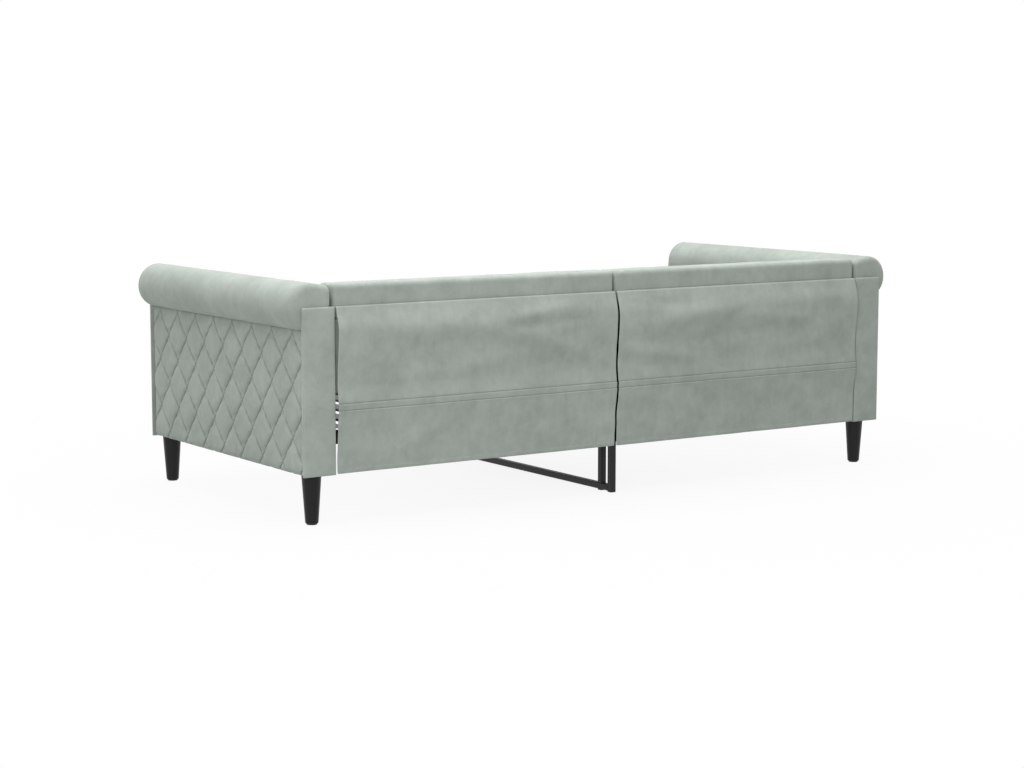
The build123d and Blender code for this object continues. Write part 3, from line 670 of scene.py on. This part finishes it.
rearCover = {
    "thickness": 0.003,
    "across": 124,
    "down": 62,
    "flat": (0.998, 0.495),
    "drops": (0.0, 0.073, 0.229, 0.296, 0.404, 0.489),  # below the top edge
    "lifts": (0.009, 0.026, 0.015, 0.021, 0.012, 0.009),  # out of the back's rear plane
    "topFold": 0.004,
    "foldRows": (0.25, 0.6, 1.0),  # shares of the top fold
    "seams": (0.286, 0.306),
    "lip": 0.0022,  # how far the lower cloth of a lapped seam stands proud
    "lipFade": 0.010,
    "hem": 0.012,
    "hemStep": 0.002,  # run over which the hem falls back to the cloth
    "hemSnap": 0.0005,
    "hemRise": 0.0005,
    "foldRise": 1.9,  # factor on the heights of the folds below
    # Strength and run of the painted shade laid into the colour just above each lapped seam
    "shade": 0.6,
    "shadeRun": 0.0012,
    "seamRows": (-0.005, -0.003, -0.0008, 0.0, 0.003),  # points about each seam, the second row shaded
    "slackFrom": 0.05,  # drop at which the small waves reach their full rise
    "slackNoise": ((0.16, 0.07, 0.0024), (0.06, 0.04, 0.0010)),  # length, height and rise of small waves
}


# How far the cloth hangs out of the back's rear plane, eased from one drop to the next
def coverLift(drop):
    drops, lifts = rearCover["drops"], rearCover["lifts"]
    for k in range(len(drops) - 1):
        if drop <= drops[k + 1] + 1e-9:
            t = (drop - drops[k]) / (drops[k + 1] - drops[k])
            ease = smoothStep(t)
            if k == 0:
                ease = (ease + math.sin(t * math.pi / 2)) / 2
            return lifts[k] + (lifts[k + 1] - lifts[k]) * ease
    return lifts[-1]


# Soft folds drawn as ridges: middle x and z, slope in degrees, half length, half width, height
coverFolds = {
    "left": (
        (0.30, 0.590, -8, 0.16, 0.020, 0.0030),
        (0.24, 0.555, -4, 0.16, 0.016, -0.0020),
        (0.40, 0.530, 10, 0.20, 0.026, 0.0030),
        (0.72, 0.560, 4, 0.18, 0.030, 0.0025),
        (0.16, 0.460, 16, 0.12, 0.022, 0.0025),
        (0.55, 0.440, -5, 0.24, 0.028, 0.0015),
        (0.35, 0.260, 30, 0.12, 0.030, 0.0020),
        (0.75, 0.230, -24, 0.14, 0.034, 0.0020),
    ),
    "right": (
        (0.22, 0.590, -4, 0.12, 0.018, -0.0025),
        (0.26, 0.545, 6, 0.20, 0.026, 0.0035),
        (0.62, 0.530, -6, 0.24, 0.026, 0.0030),
        (0.45, 0.480, 2, 0.30, 0.022, -0.0025),
        (0.20, 0.430, -8, 0.18, 0.022, 0.0030),
        (0.75, 0.440, 8, 0.18, 0.028, 0.0025),
        (0.30, 0.255, -28, 0.10, 0.026, 0.0025),
        (0.74, 0.250, -35, 0.11, 0.028, 0.0025),
    ),
}


# Rear cloth of one back half, hung from its top edge, with folds, small waves, two lapped seams with painted
# shade above them, and hems
def makeCover(side, way, seed):
    look = rearCover
    low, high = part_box("left_back_rear_cover")
    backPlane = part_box("left_back_top_roll")[1].y
    bm = bmesh.new()
    spread = Matrix.Translation(((low.x + high.x) / 2, 0, (low.z + high.z) / 2)) @ Matrix((
        (high.x - low.x, 0, 0, 0), (0, 0, 1, 0), (0, high.z - low.z, 0, 0), (0, 0, 0, 1)))
    bmesh.ops.create_grid(bm, x_segments=look["across"], y_segments=look["down"], size=0.5, matrix=spread)
    hemRows = (look["hem"], look["hem"] + look["hemStep"])
    levels = [high.z - seam - row for seam in look["seams"] for row in look["seamRows"]]
    levels += [high.z - look["topFold"] * share for share in look["foldRows"]]
    levels += [low.z + run for run in hemRows]
    for z in levels:
        cutMesh(bm, (0, 0, z), (0, 0, 1))
    for x in [low.x + run for run in hemRows] + [high.x - run for run in hemRows]:
        cutMesh(bm, (x, 0, 0), (1, 0, 0))
    # Painted shade: the colour darkens along a row just above each lapped seam, under the edge of the lap
    shaded = [seam + look["seamRows"][1] for seam in look["seams"]]
    shade = bm.verts.layers.float.new("paintedSeamShade")
    for vert in bm.verts:
        x, z = vert.co.x, vert.co.z
        drop = high.z - z
        vert[shade] = look["shade"] * max(math.exp(-abs(drop - row) / look["shadeRun"]) for row in shaded)
        out = coverLift(drop)
        for foldX, foldZ, slope, halfLength, halfWidth, rise in coverFolds[side]:
            a = math.radians(slope)
            along = (x - foldX) * math.cos(a) + (z - foldZ) * math.sin(a)
            across = (z - foldZ) * math.cos(a) - (x - foldX) * math.sin(a)
            out += look["foldRise"] * rise * math.exp(-(along / halfLength) ** 2 - (across / halfWidth) ** 2)
        ease = min(1, drop / look["slackFrom"])
        for k, (length, tall, rise) in enumerate(look["slackNoise"]):
            out += ease * rise * noise.noise(Vector((x / length + seed, z / tall, seed + 5 * k)))
        for seam in look["seams"]:
            if drop > seam - 1e-5:
                out += look["lip"] * math.exp(-(drop - seam) / look["lipFade"])
        if min(x - low.x, high.x - x, z - low.z) < look["hem"] + look["hemSnap"]:
            out += look["hemRise"]
        if drop < look["topFold"]:
            turned = 1 - drop / look["topFold"]
            out -= (look["lifts"][0] - look["thickness"]) * turned ** 2
        vert.co.y = backPlane + out
    turnOutward(bm, Vector((0, 1, 0)))
    piece = makePiece(bm, side + "BackRearCover", velvetBack, [f"{side}_back_rear_cover"], way)
    addWall(piece, look["thickness"])
    addSubdivision(piece)


for side, way in sides.items():
    makeCover(side, way, 11.0 + 3 * way)
print("rear covers hung")


flatCloth = {"across": 16, "up": 24}


# A flat upright cloth that runs along one way and, past its fold, the other way
def layCloth(name, material, corner, along, turned, outward, fold, length, height, thickness):
    bm = bmesh.new()
    spread = Matrix.Translation((length / 2, height / 2, 0)) @ Matrix.Diagonal((length, height, 1, 1))
    bmesh.ops.create_grid(bm, x_segments=flatCloth["across"], y_segments=flatCloth["up"], size=0.5,
                          matrix=spread)
    cutMesh(bm, (fold, 0, 0), (1, 0, 0))
    for vert in bm.verts:
        run, rise = vert.co.x, vert.co.y
        vert.co = corner + along * min(0, run - fold) + turned * max(0, run - fold) + Vector((0, 0, rise))
    turnOutward(bm, outward)
    piece = makePiece(bm, name, material, [], 1)
    addWall(piece, thickness)
    return piece


# Velvet over the outer end of each back half, turned in at the rear
backEnd = {"thickness": 0.0015, "margin": 0.006, "turnIn": 0.04}
low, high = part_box("left_back_boards")
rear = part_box("left_back_top_roll")[1].y
for side, way in sides.items():
    fold = rear - low.y - backEnd["margin"]
    corner = Vector((way * (high.x + backEnd["thickness"]), rear + backEnd["thickness"], low.z))
    flat = (fold + backEnd["turnIn"], high.z - low.z)
    inward, back = Vector((-way, 0, 0)), Vector((0, 1, 0))
    piece = layCloth(side + "BackEndCloth", velvetBack, corner, back, inward, back - inward, fold, *flat,
                     backEnd["thickness"])
print("back ends covered")

# Strip of the black lining on the post, behind the split between the two covers
splitLining = {"thickness": 0.0015, "clear": 0.0005, "width": 0.06, "left": 0.015, "low": 0.162}
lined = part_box("centre_tall_post")[1].y + splitLining["clear"] + splitLining["thickness"]
corner = Vector((splitLining["left"], lined, splitLining["low"]))
flat = (splitLining["width"], low.z - splitLining["low"])
level = Vector((-1, 0, 0))
piece = layCloth("CentreSplitLining", liningCloth, corner, level, level, Vector((0, 1, 0)), 0.0, *flat,
                 splitLining["thickness"])
print("split lined")

hookBlock = {"round": 0.003}


# Velvet-covered block on the arm that the back hooks on to
def makeHookBlock(side, way):
    bm = boxMesh(*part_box("left_arm_hook_block"))
    bmesh.ops.bevel(bm, geom=bm.edges[:], offset=hookBlock["round"], affect="EDGES", segments=2, profile=0.5,
                    material=-1)
    piece = makePiece(bm, side + "ArmHookBlock", velvetArms, [f"{side}_arm_hook_block"], way)


for side, way in sides.items():
    makeHookBlock(side, way)
print("hook blocks made")

# White studio: the camera sees white, the object gets an even dim sky, one large lamp above
# and a soft fill from behind on its left
studio = {
    "sky": 0.54,
    "lampPower": 190.0,
    "lampSize": (5.0, 4.0),
    "lampPlace": (0.4, 0.0, 3.6),
    "fillPower": 54.0,
    "fillSize": 1.6,
    "fillPlace": (3.8, 3.5, 1.8),
    "fillAim": (0.6, 0.2, 0.4),
    "floorSize": 60.0,
    "floorDrop": 0.0005,
    "floorTone": "#c4c4c4",
    "floorWhite": 0.86,  # share of plain white that the camera sees near the object
    "floorFade": 3.2,  # metres from the middle to where the floor is all white
}
world = bpy.data.worlds.new("studio")
scene.world = world
world.use_nodes = True
tree = world.node_tree
tree.nodes.clear()


# One for what the camera sees itself, in a mirror or through glass, and zero for the light on the object
def seenDirectly(tree):
    path = addNode(tree, "ShaderNodeLightPath").outputs
    first = addNode(tree, "ShaderNodeMath", {"operation": "MAXIMUM"},
                    links={0: path["Is Camera Ray"], 1: path["Is Glossy Ray"]})
    return addNode(tree, "ShaderNodeMath", {"operation": "MAXIMUM"},
                   links={0: first.outputs[0], 1: path["Is Transmission Ray"]}).outputs[0]


dim = addNode(tree, "ShaderNodeBackground", values={"Color": (1, 1, 1, 1), "Strength": studio["sky"]})
white = addNode(tree, "ShaderNodeBackground", values={"Color": (1, 1, 1, 1), "Strength": 1.0})
chosen = addNode(tree, "ShaderNodeMixShader",
                 links={0: seenDirectly(tree), 1: dim.outputs[0], 2: white.outputs[0]})
addNode(tree, "ShaderNodeOutputWorld", links={"Surface": chosen.outputs[0]})

# Matt floor that takes shadows, nearly white to the camera and all white further out
material, tree = newMaterial("studioFloor")
matt = addNode(tree, "ShaderNodeBsdfDiffuse", values={"Color": linearColour(studio["floorTone"])})
white = addNode(tree, "ShaderNodeEmission", values={"Strength": 1.0})
spread = addNode(tree, "ShaderNodeMapping", values={"Scale": [1 / studio["floorFade"]] * 3},
                 links={"Vector": addNode(tree, "ShaderNodeTexCoord").outputs["Object"]})
fade = addNode(tree, "ShaderNodeTexGradient", {"gradient_type": "QUADRATIC_SPHERE"},
               links={"Vector": spread.outputs["Vector"]})
share = addNode(tree, "ShaderNodeMapRange", values={"To Min": 1.0, "To Max": studio["floorWhite"]},
                links={"Value": fade.outputs["Fac"]})
faint = addNode(tree, "ShaderNodeMixShader",
                links={0: share.outputs["Result"], 1: matt.outputs[0], 2: white.outputs[0]})
chosen = addNode(tree, "ShaderNodeMixShader",
                 links={0: seenDirectly(tree), 1: matt.outputs[0], 2: faint.outputs[0]})
addNode(tree, "ShaderNodeOutputMaterial", links={"Surface": chosen.outputs[0]})
bm = bmesh.new()
bmesh.ops.create_grid(bm, x_segments=1, y_segments=1, size=studio["floorSize"],
                      matrix=Matrix.Translation((0, 0, -studio["floorDrop"])))
mesh = bpy.data.meshes.new("studioFloor")
bm.to_mesh(mesh)
bm.free()
mesh.materials.append(material)
floor = bpy.data.objects.new("studioFloor", mesh)
scene.collection.objects.link(floor)

lamp = bpy.data.lights.new("overhead", "AREA")
lamp.shape = "RECTANGLE"
lamp.size, lamp.size_y = studio["lampSize"]
lamp.energy = studio["lampPower"]
overhead = bpy.data.objects.new("overhead", lamp)
overhead.location = studio["lampPlace"]
scene.collection.objects.link(overhead)

lamp = bpy.data.lights.new("fill", "AREA")
lamp.size = studio["fillSize"]
lamp.energy = studio["fillPower"]
fill = bpy.data.objects.new("fill", lamp)
fill.location = studio["fillPlace"]
aim = Vector(studio["fillAim"]) - Vector(studio["fillPlace"])
fill.rotation_euler = aim.to_track_quat("-Z", "Y").to_euler()
scene.collection.objects.link(fill)

# Camera fitted to the edges of the object in the photograph, with its turn and tilt in degrees
shot = {"place": (4.0926, 6.0490, 1.1861), "turn": 33.7532, "tilt": 6.9632, "lens": 77.56}
lens = bpy.data.cameras.new("camera")
lens.lens = shot["lens"]
camera = bpy.data.objects.new("camera", lens)
camera.location = shot["place"]
turn, tilt = math.radians(shot["turn"]), math.radians(shot["tilt"])
sight = Vector((-math.sin(turn) * math.cos(tilt), -math.cos(turn) * math.cos(tilt), -math.sin(tilt)))
camera.rotation_euler = sight.to_track_quat("-Z", "Y").to_euler()
scene.collection.objects.link(camera)
scene.camera = camera
scene.view_settings.view_transform = "Standard"

print("scene ready")
